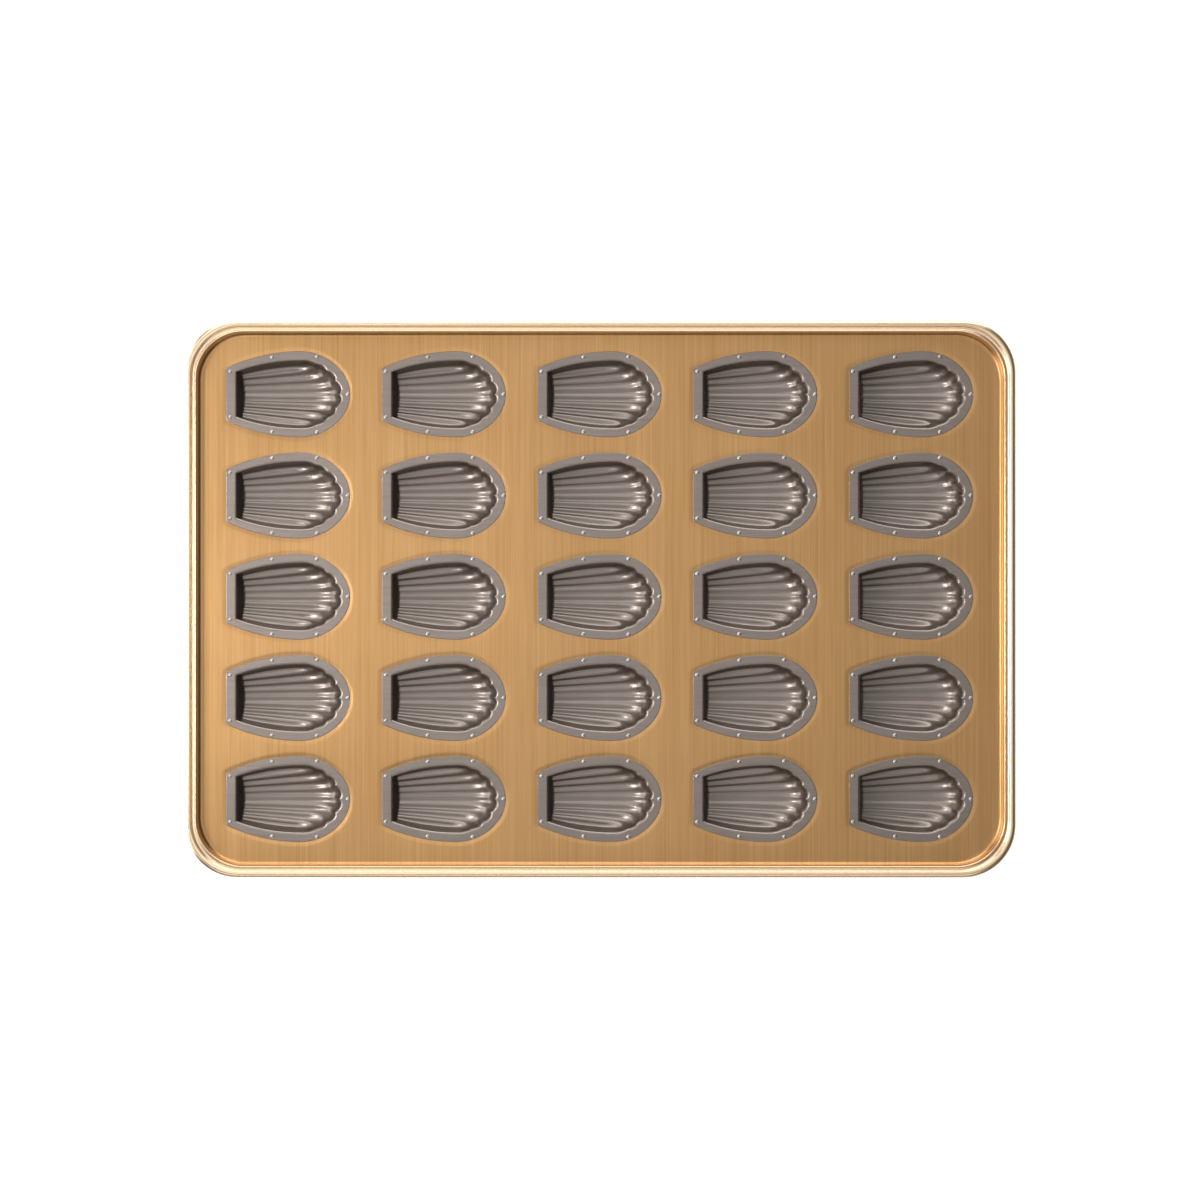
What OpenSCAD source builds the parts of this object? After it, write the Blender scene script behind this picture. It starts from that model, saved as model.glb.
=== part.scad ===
// Bakery madeleine tray: a pressed sheet with a rolled rim, and separate fluted moulds riveted into it.
// The origin is under the middle of the tray, on the surface that it stands on. +X runs along the
// length, towards the round ends of the moulds. +Y runs across the width.

/* [Tray sheet] */
// Length of the tray over its rolled rim
tray_length = 600; // [590:1:640]
// Width of the tray over its rolled rim
tray_width = 402.6; // [396:0.2:440]
// Radius of the tray's corners in plan, at the outside of the rim
corner_radius = 39.5; // [30:0.5:60]
// Thickness of the tray's sheet
sheet_thickness = 1; // [0.8:0.1:1.2]

/* [Rolled rim] */
// Height of the rim's top above the sheet
rim_height = 9.4; // [9:0.1:14]
// Outside diameter of the rolled bead
bead_diameter = 6.2; // [6:0.1:7]
// Diameter of the wire inside the bead
wire_diameter = 4; // [3:0.1:4.4]
// Distance of the inner ridge from the rim's outer edge
ridge_inset = 8.1; // [7.8:0.1:9]
// How far the ridge stays under the top of the bead
ridge_drop = 0.4; // [0:0.1:1]
// Lean of the rim's wall, from the ridge down to the sheet
wall_lean = 0.7; // [0.3:0.1:2]
// Inner radius of the bend between the sheet and the rim's wall
foot_radius = 1.5; // [1:0.1:3]

/* [Mould field] */
// Number of moulds along the length
columns = 5; // [1:1:5]
// Number of moulds across the width
rows = 5; // [1:1:5]
// Distance between moulds along the length
pitch_x = 113; // [96:1:114]
// Distance between moulds across the width
pitch_y = 73.4; // [68:0.1:75]
// How far the field of moulds sits from the tray's middle, along the length
field_shift_x = -0.6; // [-1:0.1:1]
// How far the field of moulds sits from the tray's middle, across the width
field_shift_y = 1.6; // [-2:0.1:2]

/* [Mould cavity] */
// Depth of a cavity below the mould's flange
cavity_depth = 17; // [14:0.5:20]
// Depth at the straight end, as a share of the full depth
foot_share = 0.8; // [0.6:0.05:0.9]
// Half width of the cavity at its straight end
straight_half_width = 15.5; // [14:0.5:16]
// Half width of the cavity at its widest place
cavity_half_width = 24; // [23.5:0.1:24.4]
// Thickness of the mould's metal
mould_thickness = 0.8; // [0.6:0.1:1]
// Height of the ridges between the flutes
ridge_height = 1.3; // [0.8:0.1:2]
// How far the outer flutes bulge out of the rim at the round end
scallop = 2.1; // [1:0.1:2.6]

/* [Mould flange] */
// Left edge of the flange, measured from the straight end of the cavity
flange_left = -6.7; // [-8:0.1:-6.5]
// Half width of the flange at its widest place
flange_half_width = 31.1; // [31:0.1:32]
// How far the arcs of the flange's shoulders are struck from beyond the centre line
flange_shoulder = 7.2; // [6:0.3:8.4]
// Radius of the flange's long sides
flange_side_radius = 125; // [120:1:150]
// Radius of the flange's two corners
flange_corner_radius = 3.5; // [3:0.1:4.5]
// Clearance between the flange and the edge of its recess
recess_gap = 0.6; // [0.4:0.1:0.8]
// How far the sheet's surface stands above the flange
flange_sink = 0.2; // [0:0.1:0.4]

/* [Rivets] */
// Diameter of a rivet's shank
rivet_diameter = 1.9; // [1.6:0.1:1.9]
// Diameter of a rivet's holes
rivet_hole_diameter = 2; // [2:0.1:2.2]
// Diameter of a rivet's domed head
rivet_head_diameter = 2.6; // [2.4:0.1:3]
// Height of a rivet's domed head
rivet_head_height = 0.5; // [0.4:0.1:0.7]

/* [Hidden] */
$fn = 64;
FLUTES = 4;
CUT_ANGLE = 145;
// Direction of the 3-4-5 triangle's long side, which keeps the places on a round end short numbers
TURN = [0.8, 0.6];
SHEET_COLOR = "#c89a62";
MOULD_COLOR = "#8c8480";
STEEL_COLOR = "#b9b9b9";

// Heights over the surface that the moulds stand on
flange_top = cavity_depth + mould_thickness;
sheet_top = flange_top + flange_sink;
recess_depth = mould_thickness + flange_sink;
bead_radius = bead_diameter / 2;
bead_bore_radius = bead_radius - sheet_thickness;
bead_height = rim_height - bead_radius;
wall_top = rim_height - ridge_drop - sheet_thickness / 2;
foot_inset = ridge_inset + sheet_thickness / 2 + wall_lean + foot_radius;
floor_length = tray_length - 2 * foot_inset;
floor_width = tray_width - 2 * foot_inset;

// Plan of a cavity, from its straight end. A flute position runs from 0 on the centre line to 4 on
// the long side's rim, with a ridge on each whole number below 4.
rim_centre_x = 49.6;
nose_centre_x = 47;
nose_length = 27.85;
nose_power = 1.85;
rim_power = 2.2;
rim_start_x = 1;
arch_widening = 0.16;
SCALLOP_SHARES = [1, 0.88, 0.55, 0.17];
ridge_pitch = 4.45;
ridge_pitch_loss = 0.08;
fan_width = 7.6;
fan_power = 1.3;
fan_length = 64;
cusp_angle = 21;
toe_gap = 5.5;
toe_gap_loss = 0.9;
toe_run = 18;
toe_run_loss = 1.5;
turn_power = 3;
foot_draft = 0.23;
land_start = 0.85;
side_fall = 0.06;
flat_half_width = 0.7;
side_wall_start = 3.55;
wall_power = 2.2;
crest_half_width = 0.3;
ridge_at_foot = 0.5;

// Plan of the flange and of the hole in the sheet below it
flange_nose_x = 47.2;
flange_middle_x = (flange_left + tip_x(flange_nose_x, flange_half_width, flange_shoulder)) / 2;
cut_left = -1.5;
cut_nose_x = 50.1;
cut_half_width = 26.3;
cut_shoulder = 3.6;
cut_side_radius = 140;
cut_corner_radius = 1;
RIVETS = [[-3.9, 16.6], [-3.9, -16.6], [26.6, 27.1], [26.6, -27.1], [59.2, 27.4], [59.2, -27.4], [81.6, 0]];

// Stations of the cavity's mesh: along a flute as [floor, end wall] shares, and across the flutes
STATIONS = [[0, 0], [0.45, 0], [land_start, 0], [1, 0], [1, 0.55], [1, 0.85], [1, 1]];
HALF_ACROSS = concat(
    [for (flute = [0:FLUTES - 2], part = [0, crest_half_width, 1 - crest_half_width]) flute + part],
    [3, 3 + crest_half_width, 3.75, FLUTES]
);
ACROSS = concat(
    [for (i = [len(HALF_ACROSS) - 1:-1:1]) -HALF_ACROSS[i]],
    HALF_ACROSS
);

ROW_NUMBERS = [1:rows];
COLUMN_NUMBERS = [1:columns];
function mould_name(row, column) = str("mould_r", row, "_c", column);
function rivets_name(row, column) = str("rivets_r", row, "_c", column);

// Place of a mould's straight end on the centre line of its cavity
function mould_place(row, column) = [
    (column - (columns + 1) / 2) * pitch_x - flange_middle_x + field_shift_x,
    ((rows + 1) / 2 - row) * pitch_y + field_shift_y
];

function blend(a, b, share) = a + (b - a) * share;
function side_rim_y(x) =
    cavity_half_width - (cavity_half_width - straight_half_width)
    * pow(abs(rim_centre_x - x) / rim_centre_x, rim_power);

// Distance of a flute line from the centre line, with the cavity grown by grow
function line_y(flute, x, grow) =
    flute > FLUTES - 1
    ? blend(line_y(FLUTES - 1, x, grow), side_rim_y(x) + grow, flute - FLUTES + 1)
    : (ridge_pitch - ridge_pitch_loss * flute) * flute
      + fan_width * pow(flute / (FLUTES - 1), fan_power) * x / fan_length;

// Point of the smooth arch that the scallops stand on, and of the scalloped rim itself
function arch_point(flute, grow) =
    let (
        angle = cusp_angle * flute,
        along = pow(cos(angle) / (nose_length + grow), nose_power),
        across = pow(sin(angle) / (cavity_half_width + arch_widening + grow), nose_power),
        reach = pow(along + across, -1 / nose_power)
    )
    [nose_centre_x + reach * cos(angle), reach * sin(angle)];
function nose_point(flute, grow) =
    let (
        size = scallop * SCALLOP_SHARES[min(FLUTES - 1, floor(flute))],
        bulge = size * abs(sin(180 * flute)),
        lean = 16 * flute - 20
    )
    arch_point(flute, grow) + bulge * [cos(lean), sin(lean)];

// Share of the depth that is left at a flute position, and on the way up the end wall
function rounded_wall(share) = pow(1 - pow(share, wall_power), 1 / wall_power);
function depth_across(flute) =
    (1 - side_fall * pow(max(0, flute - flat_half_width), 1.5))
    * (flute > side_wall_start ? rounded_wall((flute - side_wall_start) / (FLUTES - side_wall_start)) : 1);
function depth_along(floor_share) =
    1 - (1 - foot_share) * pow(1 - min(1, floor_share / land_start), 2);
function crest(flute) =
    flute > FLUTES - 0.5 ? 0 : max(0, 1 - pow(abs(sin(180 * flute)) / sin(180 * crest_half_width), 0.8));
function depth_at(flute, floor_share, wall_share) =
    rounded_wall(wall_share) * (cavity_depth * depth_along(floor_share) * depth_across(flute)
    - ridge_height * crest(flute) * blend(ridge_at_foot, 1, floor_share));

// Point of the cavity's surface; grow moves it outwards and down, for the outside of the metal
function cavity_point(position, floor_share, wall_share, grow) =
    let (
        flute = abs(position),
        side = sign(position),
        depth = depth_at(flute, floor_share, wall_share),
        foot_x = rim_start_x + foot_draft * depth_at(flute, 0, 0) - grow,
        toe = arch_point(flute, grow / 2)[0] - toe_gap + toe_gap_loss * flute,
        start_x = toe - toe_run + toe_run_loss * flute,
        rim = nose_point(flute, grow),
        curved_x = pow(1 - wall_share, 2) * start_x + 2 * wall_share * (1 - wall_share) * toe
            + wall_share * wall_share * rim[0],
        x = wall_share > 0 ? curved_x : blend(foot_x, start_x, floor_share),
        y = blend(line_y(flute, x, grow), rim[1], pow(wall_share, turn_power)),
        plan = [x, y]
    )
    [plan[0], side * plan[1], -depth - grow];

// Centre of the round corner that touches a straight left edge and a long side's arc
function corner_centre(left, nose_x, half, side_r, corner_r) =
    [left + corner_r, sqrt(pow(side_r - corner_r, 2) - pow(nose_x - left - corner_r, 2)) - side_r + half];

// A round end is two shoulder arcs and the tip's arc, which meet where the radius points along TURN
function tip_centre_x(nose_x, shoulder) = nose_x + shoulder * TURN[0] / TURN[1];
function tip_radius(half, shoulder) = half + shoulder - shoulder / TURN[1];
function tip_x(nose_x, half, shoulder) = tip_centre_x(nose_x, shoulder) + tip_radius(half, shoulder);

// Points of a mould's cup, with its rim at height 0. A loop runs round the rim, counter-clockwise from
// above: along one long side, round the scalloped end, back, and across the straight end.
LAST_ROW = len(STATIONS) - 1;
LAST = len(ACROSS) - 1;
WALL_PARTS = 2 * FLUTES;
GRID = len(STATIONS) * len(ACROSS);
function grid_index(face, row, position) = face * GRID + row * len(ACROSS) + position;
function wall_index(face, part) =
    part == 0 ? grid_index(face, 0, 0)
    : part == WALL_PARTS ? grid_index(face, 0, LAST)
    : 2 * GRID + face * (WALL_PARTS - 1) + part - 1;
function rim_loop(face) = concat(
    [for (row = [0:LAST_ROW]) grid_index(face, row, 0)],
    [for (position = [1:LAST]) grid_index(face, LAST_ROW, position)],
    [for (row = [LAST_ROW - 1:-1:0]) grid_index(face, row, LAST)],
    [for (part = [WALL_PARTS - 1:-1:1]) wall_index(face, part)]
);
CUP_POINTS = concat(
    [for (grow = [0, mould_thickness], station = STATIONS, position = ACROSS)
        cavity_point(position, station[0], station[1], grow)],
    [for (grow = [0, mould_thickness], part = [1:WALL_PARTS - 1])
        [rim_start_x - grow, cavity_point(ACROSS[3 * part], 0, 0, grow)[1], -grow]]
);
INNER_LOOP = rim_loop(0);
OUTER_LOOP = rim_loop(1);
LOOP_POINTS = [for (i = OUTER_LOOP) [CUP_POINTS[i][0], CUP_POINTS[i][1]]];

module mould_cup() {
    first = len(CUP_POINTS);
    around = len(INNER_LOOP);
    points = concat(CUP_POINTS, [for (p = LOOP_POINTS) [p[0], p[1], 0]]);
    sheets = [for (row = [0:LAST_ROW - 1], position = [0:LAST - 1]) each [
        [for (step = [[0, 0], [0, 1], [1, 1]]) grid_index(0, row + step[0], position + step[1])],
        [for (step = [[0, 0], [1, 1], [1, 0]]) grid_index(0, row + step[0], position + step[1])],
        [for (step = [[0, 0], [1, 1], [0, 1]]) grid_index(1, row + step[0], position + step[1])],
        [for (step = [[0, 0], [1, 0], [1, 1]]) grid_index(1, row + step[0], position + step[1])]
    ]];
    rims = [for (i = [0:around - 1]) let (next = (i + 1) % around) each [
        [INNER_LOOP[i], INNER_LOOP[next], first + next, first + i],
        [first + i, first + next, OUTER_LOOP[next], OUTER_LOOP[i]]
    ]];
    inner_wall = [for (part = [0:WALL_PARTS - 1]) concat(
        [wall_index(0, part), wall_index(0, part + 1)],
        [for (position = [3 * part + 3:-1:3 * part])
            if (position > 0 && position < LAST) grid_index(0, 0, position)]
    )];
    outer_wall = [for (part = [0:WALL_PARTS - 1]) concat(
        [wall_index(1, part)],
        [for (position = [3 * part:3 * part + 3])
            if (position > 0 && position < LAST) grid_index(1, 0, position)],
        [wall_index(1, part + 1)]
    )];
    polyhedron(points, concat(sheets, rims, inner_wall, outer_wall), convexity = 6);
}

// Outline with a straight left edge, two long side arcs and a round end. Each corner is one cut that
// touches the corner's radius.
module shell_outline(left, nose_x, half, shoulder, side_r, corner_r) {
    middle = corner_centre(left, nose_x, half, side_r, corner_r);
    touch = middle + corner_r * [cos(CUT_ANGLE), sin(CUT_ANGLE)];
    along = [sin(CUT_ANGLE), -cos(CUT_ANGLE)];
    low = touch + along * (left - touch[0]) / along[0];
    high = touch + along * half;
    far = 2 * half;
    turn_x = nose_x + (half + shoulder) * TURN[0];
    intersection() {
        translate([nose_x, half - side_r]) circle(side_r);
        translate([nose_x, side_r - half]) circle(side_r);
        polygon([
            [nose_x, -far], [nose_x, far], high, low, [low[0], -low[1]], [high[0], -high[1]]
        ]);
    }
    intersection() {
        translate([nose_x, -shoulder]) circle(half + shoulder);
        translate([nose_x, shoulder]) circle(half + shoulder);
        translate([nose_x, -far]) square([turn_x - nose_x, 2 * far]);
    }
    intersection() {
        translate([tip_centre_x(nose_x, shoulder), 0]) circle(tip_radius(half, shoulder));
        translate([turn_x, -far]) square([far, 2 * far]);
    }
}

module flange_outline(grow) {
    shell_outline(flange_left - grow, flange_nose_x, flange_half_width + grow, flange_shoulder,
        flange_side_radius + grow, flange_corner_radius + grow);
}

// Section of the rim: x runs outwards and ends at 0 on the tray's edge, y is height over the sheet
module rim_section() {
    wall_x = -ridge_inset;
    foot_x = wall_x - wall_lean;
    half = sheet_thickness / 2;
    bend_x = foot_x - half - foot_radius;
    groove_radius = 1.5;
    groove_y = wall_top + half + 0.25;
    groove_x = wall_x + sqrt(pow(groove_radius + half, 2) - pow(groove_y - wall_top, 2));
    web_low = groove_y - groove_radius - sheet_thickness;
    web_top = wall_top + (groove_y - wall_top) * half / (groove_radius + half);
    difference() {
        union() {
            translate([-bead_radius, bead_height]) circle(bead_radius);
            translate([wall_x, web_low]) square([bead_bore_radius + 1, web_top - web_low]);
            translate([wall_x, wall_top]) circle(half);
            polygon([
                [wall_x - half, wall_top], [wall_x + half, wall_top],
                [foot_x + half, foot_radius], [foot_x - half, foot_radius]
            ]);
            intersection() {
                difference() {
                    translate([bend_x, foot_radius]) circle(foot_radius + sheet_thickness);
                    translate([bend_x, foot_radius]) circle(foot_radius);
                }
                translate([bend_x, -sheet_thickness])
                    square([foot_radius + sheet_thickness, foot_radius + sheet_thickness]);
            }
        }
        translate([groove_x, groove_y]) circle(groove_radius);
        translate([-bead_radius, bead_height]) circle(bead_bore_radius);
        translate([-bead_radius, bead_height]) rotate(210)
            translate([bead_bore_radius - 0.6, -0.4]) square([sheet_thickness + 1.2, 0.8]);
    }
}

// Sweeps a section along the tray's outline: four quarter turns and four straight runs
module around_tray() {
    half_x = tray_length / 2 - corner_radius;
    half_y = tray_width / 2 - corner_radius;
    for (side_x = [-1, 1], side_y = [-1, 1])
        translate([side_x * half_x, side_y * half_y, 0])
            rotate(side_x > 0 ? (side_y > 0 ? 0 : 270) : (side_y > 0 ? 90 : 180))
                rotate_extrude(angle = 90) translate([corner_radius, 0]) children();
    for (turn = [0, 180]) {
        rotate(turn) translate([tray_length / 2, half_y, 0]) rotate([90, 0, 0])
            linear_extrude(2 * half_y) children();
        rotate(turn) translate([-half_x, tray_width / 2, 0]) rotate([90, 0, 90])
            linear_extrude(2 * half_x) children();
    }
}

module floor_plate() {
    radius = corner_radius - foot_inset;
    linear_extrude(sheet_thickness) {
        square([floor_length - 2 * radius, floor_width], center = true);
        square([floor_length, floor_width - 2 * radius], center = true);
        for (x = [-1, 1], y = [-1, 1])
            translate([x * (floor_length / 2 - radius), y * (floor_width / 2 - radius)]) circle(radius);
    }
}

module at_each_mould() {
    for (row = ROW_NUMBERS, column = COLUMN_NUMBERS)
        translate(concat(mould_place(row, column), [0])) children();
}

module tray_sheet() {
    color(SHEET_COLOR) difference() {
        union() {
            translate([0, 0, sheet_top]) around_tray() rim_section();
            translate([0, 0, sheet_top - sheet_thickness]) floor_plate();
            at_each_mould() translate([0, 0, sheet_top - recess_depth - sheet_thickness])
                linear_extrude(recess_depth) flange_outline(recess_gap + sheet_thickness);
        }
        at_each_mould() {
            translate([0, 0, sheet_top - recess_depth])
                linear_extrude(recess_depth + 1) flange_outline(recess_gap);
            translate([0, 0, sheet_top - recess_depth - sheet_thickness - 1])
                linear_extrude(sheet_thickness + 2)
                    shell_outline(cut_left, cut_nose_x, cut_half_width, cut_shoulder,
                        cut_side_radius, cut_corner_radius);
            for (place = RIVETS)
                translate([place[0], place[1], sheet_top - recess_depth - sheet_thickness - 1])
                    cylinder(d = rivet_hole_diameter, h = sheet_thickness + 2);
        }
    }
}

module rim_wire() {
    color(STEEL_COLOR) translate([0, 0, sheet_top]) around_tray()
        translate([-bead_radius, bead_height]) circle(d = wire_diameter);
}

module mould(row, column) {
    color(MOULD_COLOR) translate(concat(mould_place(row, column), [flange_top])) difference() {
        union() {
            mould_cup();
            translate([0, 0, -mould_thickness]) linear_extrude(mould_thickness) difference() {
                flange_outline(0);
                polygon(LOOP_POINTS);
            }
        }
        for (place = RIVETS)
            translate([place[0], place[1], -mould_thickness - 1])
                cylinder(d = rivet_hole_diameter, h = mould_thickness + 2);
    }
}

module rivet() {
    head_radius = rivet_head_diameter / 2;
    dome_radius = (head_radius * head_radius / rivet_head_height + rivet_head_height) / 2;
    grip = mould_thickness + sheet_thickness;
    tail_height = 0.5;
    translate([0, 0, -grip - tail_height]) cylinder(d = rivet_head_diameter, h = tail_height);
    translate([0, 0, -grip - tail_height / 2]) cylinder(d = rivet_diameter, h = grip + tail_height);
    intersection() {
        translate([0, 0, rivet_head_height - dome_radius]) sphere(dome_radius);
        cylinder(r = dome_radius, h = rivet_head_height + 1);
    }
}

module rivets(row, column) {
    color(STEEL_COLOR) translate(concat(mould_place(row, column), [flange_top]))
        for (place = RIVETS) translate(place) rivet();
}

tray_sheet();
rim_wire();
for (row = ROW_NUMBERS, column = COLUMN_NUMBERS) {
    mould(row, column);
    rivets(row, column);
}
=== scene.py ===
"""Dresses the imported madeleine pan: a gold-coloured bakery tray with fluted cake moulds riveted into it.

The tray's sheet, each mould and each mould's rivets are built here as smooth meshes in the places that
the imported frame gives, and get procedural metal finishes. The rim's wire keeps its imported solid.
Everything is in metres, with +X along the tray towards the moulds' round ends and +Z up.
"""

from __future__ import annotations

import logging
import math
from dataclasses import dataclass, replace
from enum import Enum
from typing import Any, Iterator, Sequence

import bpy
import numpy as np
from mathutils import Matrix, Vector
from mathutils.geometry import delaunay_2d_cdt


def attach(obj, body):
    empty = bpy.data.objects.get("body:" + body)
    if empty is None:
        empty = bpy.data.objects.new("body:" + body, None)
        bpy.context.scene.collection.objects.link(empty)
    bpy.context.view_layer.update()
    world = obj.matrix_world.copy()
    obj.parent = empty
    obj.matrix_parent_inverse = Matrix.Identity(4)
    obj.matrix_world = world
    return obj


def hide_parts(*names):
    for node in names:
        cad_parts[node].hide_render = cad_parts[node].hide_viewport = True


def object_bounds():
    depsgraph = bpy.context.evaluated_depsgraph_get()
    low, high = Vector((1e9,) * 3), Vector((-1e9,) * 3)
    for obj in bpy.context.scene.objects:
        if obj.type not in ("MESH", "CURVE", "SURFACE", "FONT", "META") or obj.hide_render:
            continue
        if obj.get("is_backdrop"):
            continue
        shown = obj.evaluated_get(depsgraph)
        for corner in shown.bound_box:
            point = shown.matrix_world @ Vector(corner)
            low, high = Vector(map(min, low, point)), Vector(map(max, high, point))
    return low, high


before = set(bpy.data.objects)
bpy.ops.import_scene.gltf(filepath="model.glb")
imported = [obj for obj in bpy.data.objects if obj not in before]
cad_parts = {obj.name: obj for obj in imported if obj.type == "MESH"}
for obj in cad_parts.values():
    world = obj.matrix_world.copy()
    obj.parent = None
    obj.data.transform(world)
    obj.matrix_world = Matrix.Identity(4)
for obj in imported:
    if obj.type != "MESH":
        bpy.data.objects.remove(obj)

MM = 0.001
# Points of a level area that lie closer than this, in millimetres, count as one
CLOSEST = 1e-7
LOG = logging.getLogger("madeleine_pan")
# Numbers of the Mix node's colour sockets
MIX_LOW, MIX_HIGH, MIX_RESULT = 6, 7, 2
Color = tuple[float, float, float]
Loop = np.ndarray
Points = np.ndarray


class Slot(Enum):
    """Material slots of the record."""

    TRAY = "tray"
    WIRE = "wire"
    MOULD = "mould"
    RIVET = "rivet"


class Side(Enum):
    """Which face of the sheet metal a surface is."""

    TOP = 1
    UNDER = -1


# Shader writing


class Value:
    """A number that changes over a surface, kept as a node's output socket."""

    def __init__(self, graph: "Graph", socket: bpy.types.NodeSocket) -> None:
        """Wraps a socket.

        Args:
            graph: The graph that new Math nodes go into.
            socket: The output socket that carries the number.
        """
        self.graph = graph
        self.socket = socket

    def _math(self, operation: str, *terms: "Value | float", clamp: bool = False) -> "Value":
        """Adds one Math node.

        Args:
            operation: The Math node's operation.
            *terms: Its inputs in order.
            clamp: Whether the result is held between 0 and 1.

        Returns:
            The node's result.
        """
        settings = {"operation": operation, "use_clamp": clamp}
        inputs = {i: t.socket if isinstance(t, Value) else t for i, t in enumerate(terms)}
        node = self.graph.add("ShaderNodeMath", settings, inputs)
        return Value(self.graph, node.outputs[0])

    def __add__(self, other: "Value | float") -> "Value":
        """Sum."""
        return self._math("ADD", self, other)

    def __radd__(self, other: float) -> "Value":
        """Sum with a plain number first."""
        return self._math("ADD", other, self)

    def __sub__(self, other: "Value | float") -> "Value":
        """Difference."""
        return self._math("SUBTRACT", self, other)

    def __rsub__(self, other: float) -> "Value":
        """Difference from a plain number."""
        return self._math("SUBTRACT", other, self)

    def __mul__(self, other: "Value | float") -> "Value":
        """Product."""
        return self._math("MULTIPLY", self, other)

    def __rmul__(self, other: float) -> "Value":
        """Product with a plain number first."""
        return self._math("MULTIPLY", other, self)

    def __truediv__(self, other: "Value | float") -> "Value":
        """Quotient."""
        return self._math("DIVIDE", self, other)

    def __rtruediv__(self, other: float) -> "Value":
        """A plain number divided by this one."""
        return self._math("DIVIDE", other, self)

    def held(self) -> "Value":
        """The number held between 0 and 1."""
        return self._math("ADD", self, 0.0, clamp=True)


class Graph:
    """The node tree of one material or of the room, with short ways to add to it."""

    def __init__(self, owner: bpy.types.Material | bpy.types.World) -> None:
        """Empties the owner's node tree and adds its output.

        Args:
            owner: The material or world.
        """
        owner.use_nodes = True
        self.owner = owner
        self.tree = owner.node_tree
        self.tree.nodes.clear()
        kind = "ShaderNodeOutputWorld" if isinstance(owner, bpy.types.World) else "ShaderNodeOutputMaterial"
        self.output = self.add(kind)
        self._place: bpy.types.NodeSocket | None = None

    def add(
        self,
        kind: str,
        settings: dict[str, Any] | None = None,
        inputs: dict[str | int, Any] | None = None,
    ) -> bpy.types.Node:
        """Adds a node.

        Args:
            kind: The node's type name.
            settings: Its properties, set before its sockets.
            inputs: Values or links for its sockets, by name or number.

        Returns:
            The new node.
        """
        node = self.tree.nodes.new(kind)
        for key, value in (settings or {}).items():
            setattr(node, key, value)
        for key, value in (inputs or {}).items():
            if isinstance(value, Value):
                value = value.socket
            if isinstance(value, bpy.types.NodeSocket):
                self.tree.links.new(value, node.inputs[key])
            else:
                node.inputs[key].default_value = value
        return node

    def place(self) -> bpy.types.NodeSocket:
        """The surface's own coordinates.

        Returns:
            Their socket, in metres from the frame's origin.
        """
        if self._place is None:
            self._place = self.add("ShaderNodeTexCoord").outputs["Object"]
        return self._place

    def axes(self) -> tuple[Value, Value, Value]:
        """The three coordinates as numbers, in metres from the frame's origin."""
        parts = self.add("ShaderNodeSeparateXYZ", None, {0: self.place()})
        return tuple(Value(self, parts.outputs[i]) for i in range(3))

    def noise(self, scale: Sequence[float], detail: float, offset: float = 0.0) -> Value:
        """Noise between 0 and 1, stretched by its three scales.

        Args:
            scale: Waves per metre along X, Y and Z.
            detail: Number of finer layers.
            offset: Moves the pattern, so that two noises differ.

        Returns:
            The noise.
        """
        mapped = self.add(
            "ShaderNodeMapping",
            None,
            {"Vector": self.place(), "Scale": tuple(scale), "Location": (offset, offset * 0.7, 0.0)},
        )
        node = self.add(
            "ShaderNodeTexNoise",
            None,
            {"Vector": mapped.outputs[0], "Scale": 1.0, "Detail": detail, "Roughness": 0.6},
        )
        return Value(self, node.outputs["Fac"])

    def mix(
        self,
        share: Value,
        low: Color | bpy.types.NodeSocket,
        high: Color | bpy.types.NodeSocket,
    ) -> bpy.types.NodeSocket:
        """Mixes two colours.

        Args:
            share: 0 for the low colour, 1 for the high one.
            low: Linear colour or colour socket.
            high: Linear colour or colour socket.

        Returns:
            The mixed colour's socket.
        """
        ends = {}
        for place, color in ((MIX_LOW, low), (MIX_HIGH, high)):
            ends[place] = color if isinstance(color, bpy.types.NodeSocket) else (*color, 1.0)
        node = self.add("ShaderNodeMix", {"data_type": "RGBA"}, {0: share, **ends})
        return node.outputs[MIX_RESULT]

    def bump(self, height: Value, distance: float) -> bpy.types.NodeSocket:
        """A bumped normal.

        Args:
            height: Height between 0 and 1.
            distance: Metres that a height of 1 stands for.

        Returns:
            The normal's socket.
        """
        node = self.add("ShaderNodeBump", None, {"Height": height, "Distance": distance})
        return node.outputs["Normal"]

    def end(self, surface: bpy.types.NodeSocket) -> None:
        """Links a shader to the output."""
        self.tree.links.new(surface, self.output.inputs["Surface"])

    def end_for_camera(self, usual: bpy.types.NodeSocket, seen: bpy.types.NodeSocket) -> None:
        """Ends the graph in one shader for the camera and another for all else.

        Args:
            usual: The shader that lights and mirrors in the object.
            seen: The shader that the camera sees.
        """
        path = self.add("ShaderNodeLightPath")
        mix = self.add("ShaderNodeMixShader", None, {0: path.outputs["Is Camera Ray"], 1: usual, 2: seen})
        self.end(mix.outputs[0])

    def metal(self, constants: dict[str, Any], varying: dict[str, Any]) -> bpy.types.Material:
        """Ends the graph in a metal shader.

        Args:
            constants: Values for the shader's own sockets, besides its metallic one.
            varying: Values or sockets that change over the surface.

        Returns:
            The finished material.
        """
        shader = self.add("ShaderNodeBsdfPrincipled", None, {"Metallic": 1.0, **constants, **varying})
        self.end(shader.outputs[0])
        return self.owner


def linear(red: int, green: int, blue: int) -> Color:
    """A screen colour as linear light.

    Args:
        red: Red from 0 to 255.
        green: Green from 0 to 255.
        blue: Blue from 0 to 255.

    Returns:
        The linear colour.
    """
    shares = (red / 255, green / 255, blue / 255)
    return tuple(c / 12.92 if c <= 0.04045 else ((c + 0.055) / 1.055) ** 2.4 for c in shares)


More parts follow.
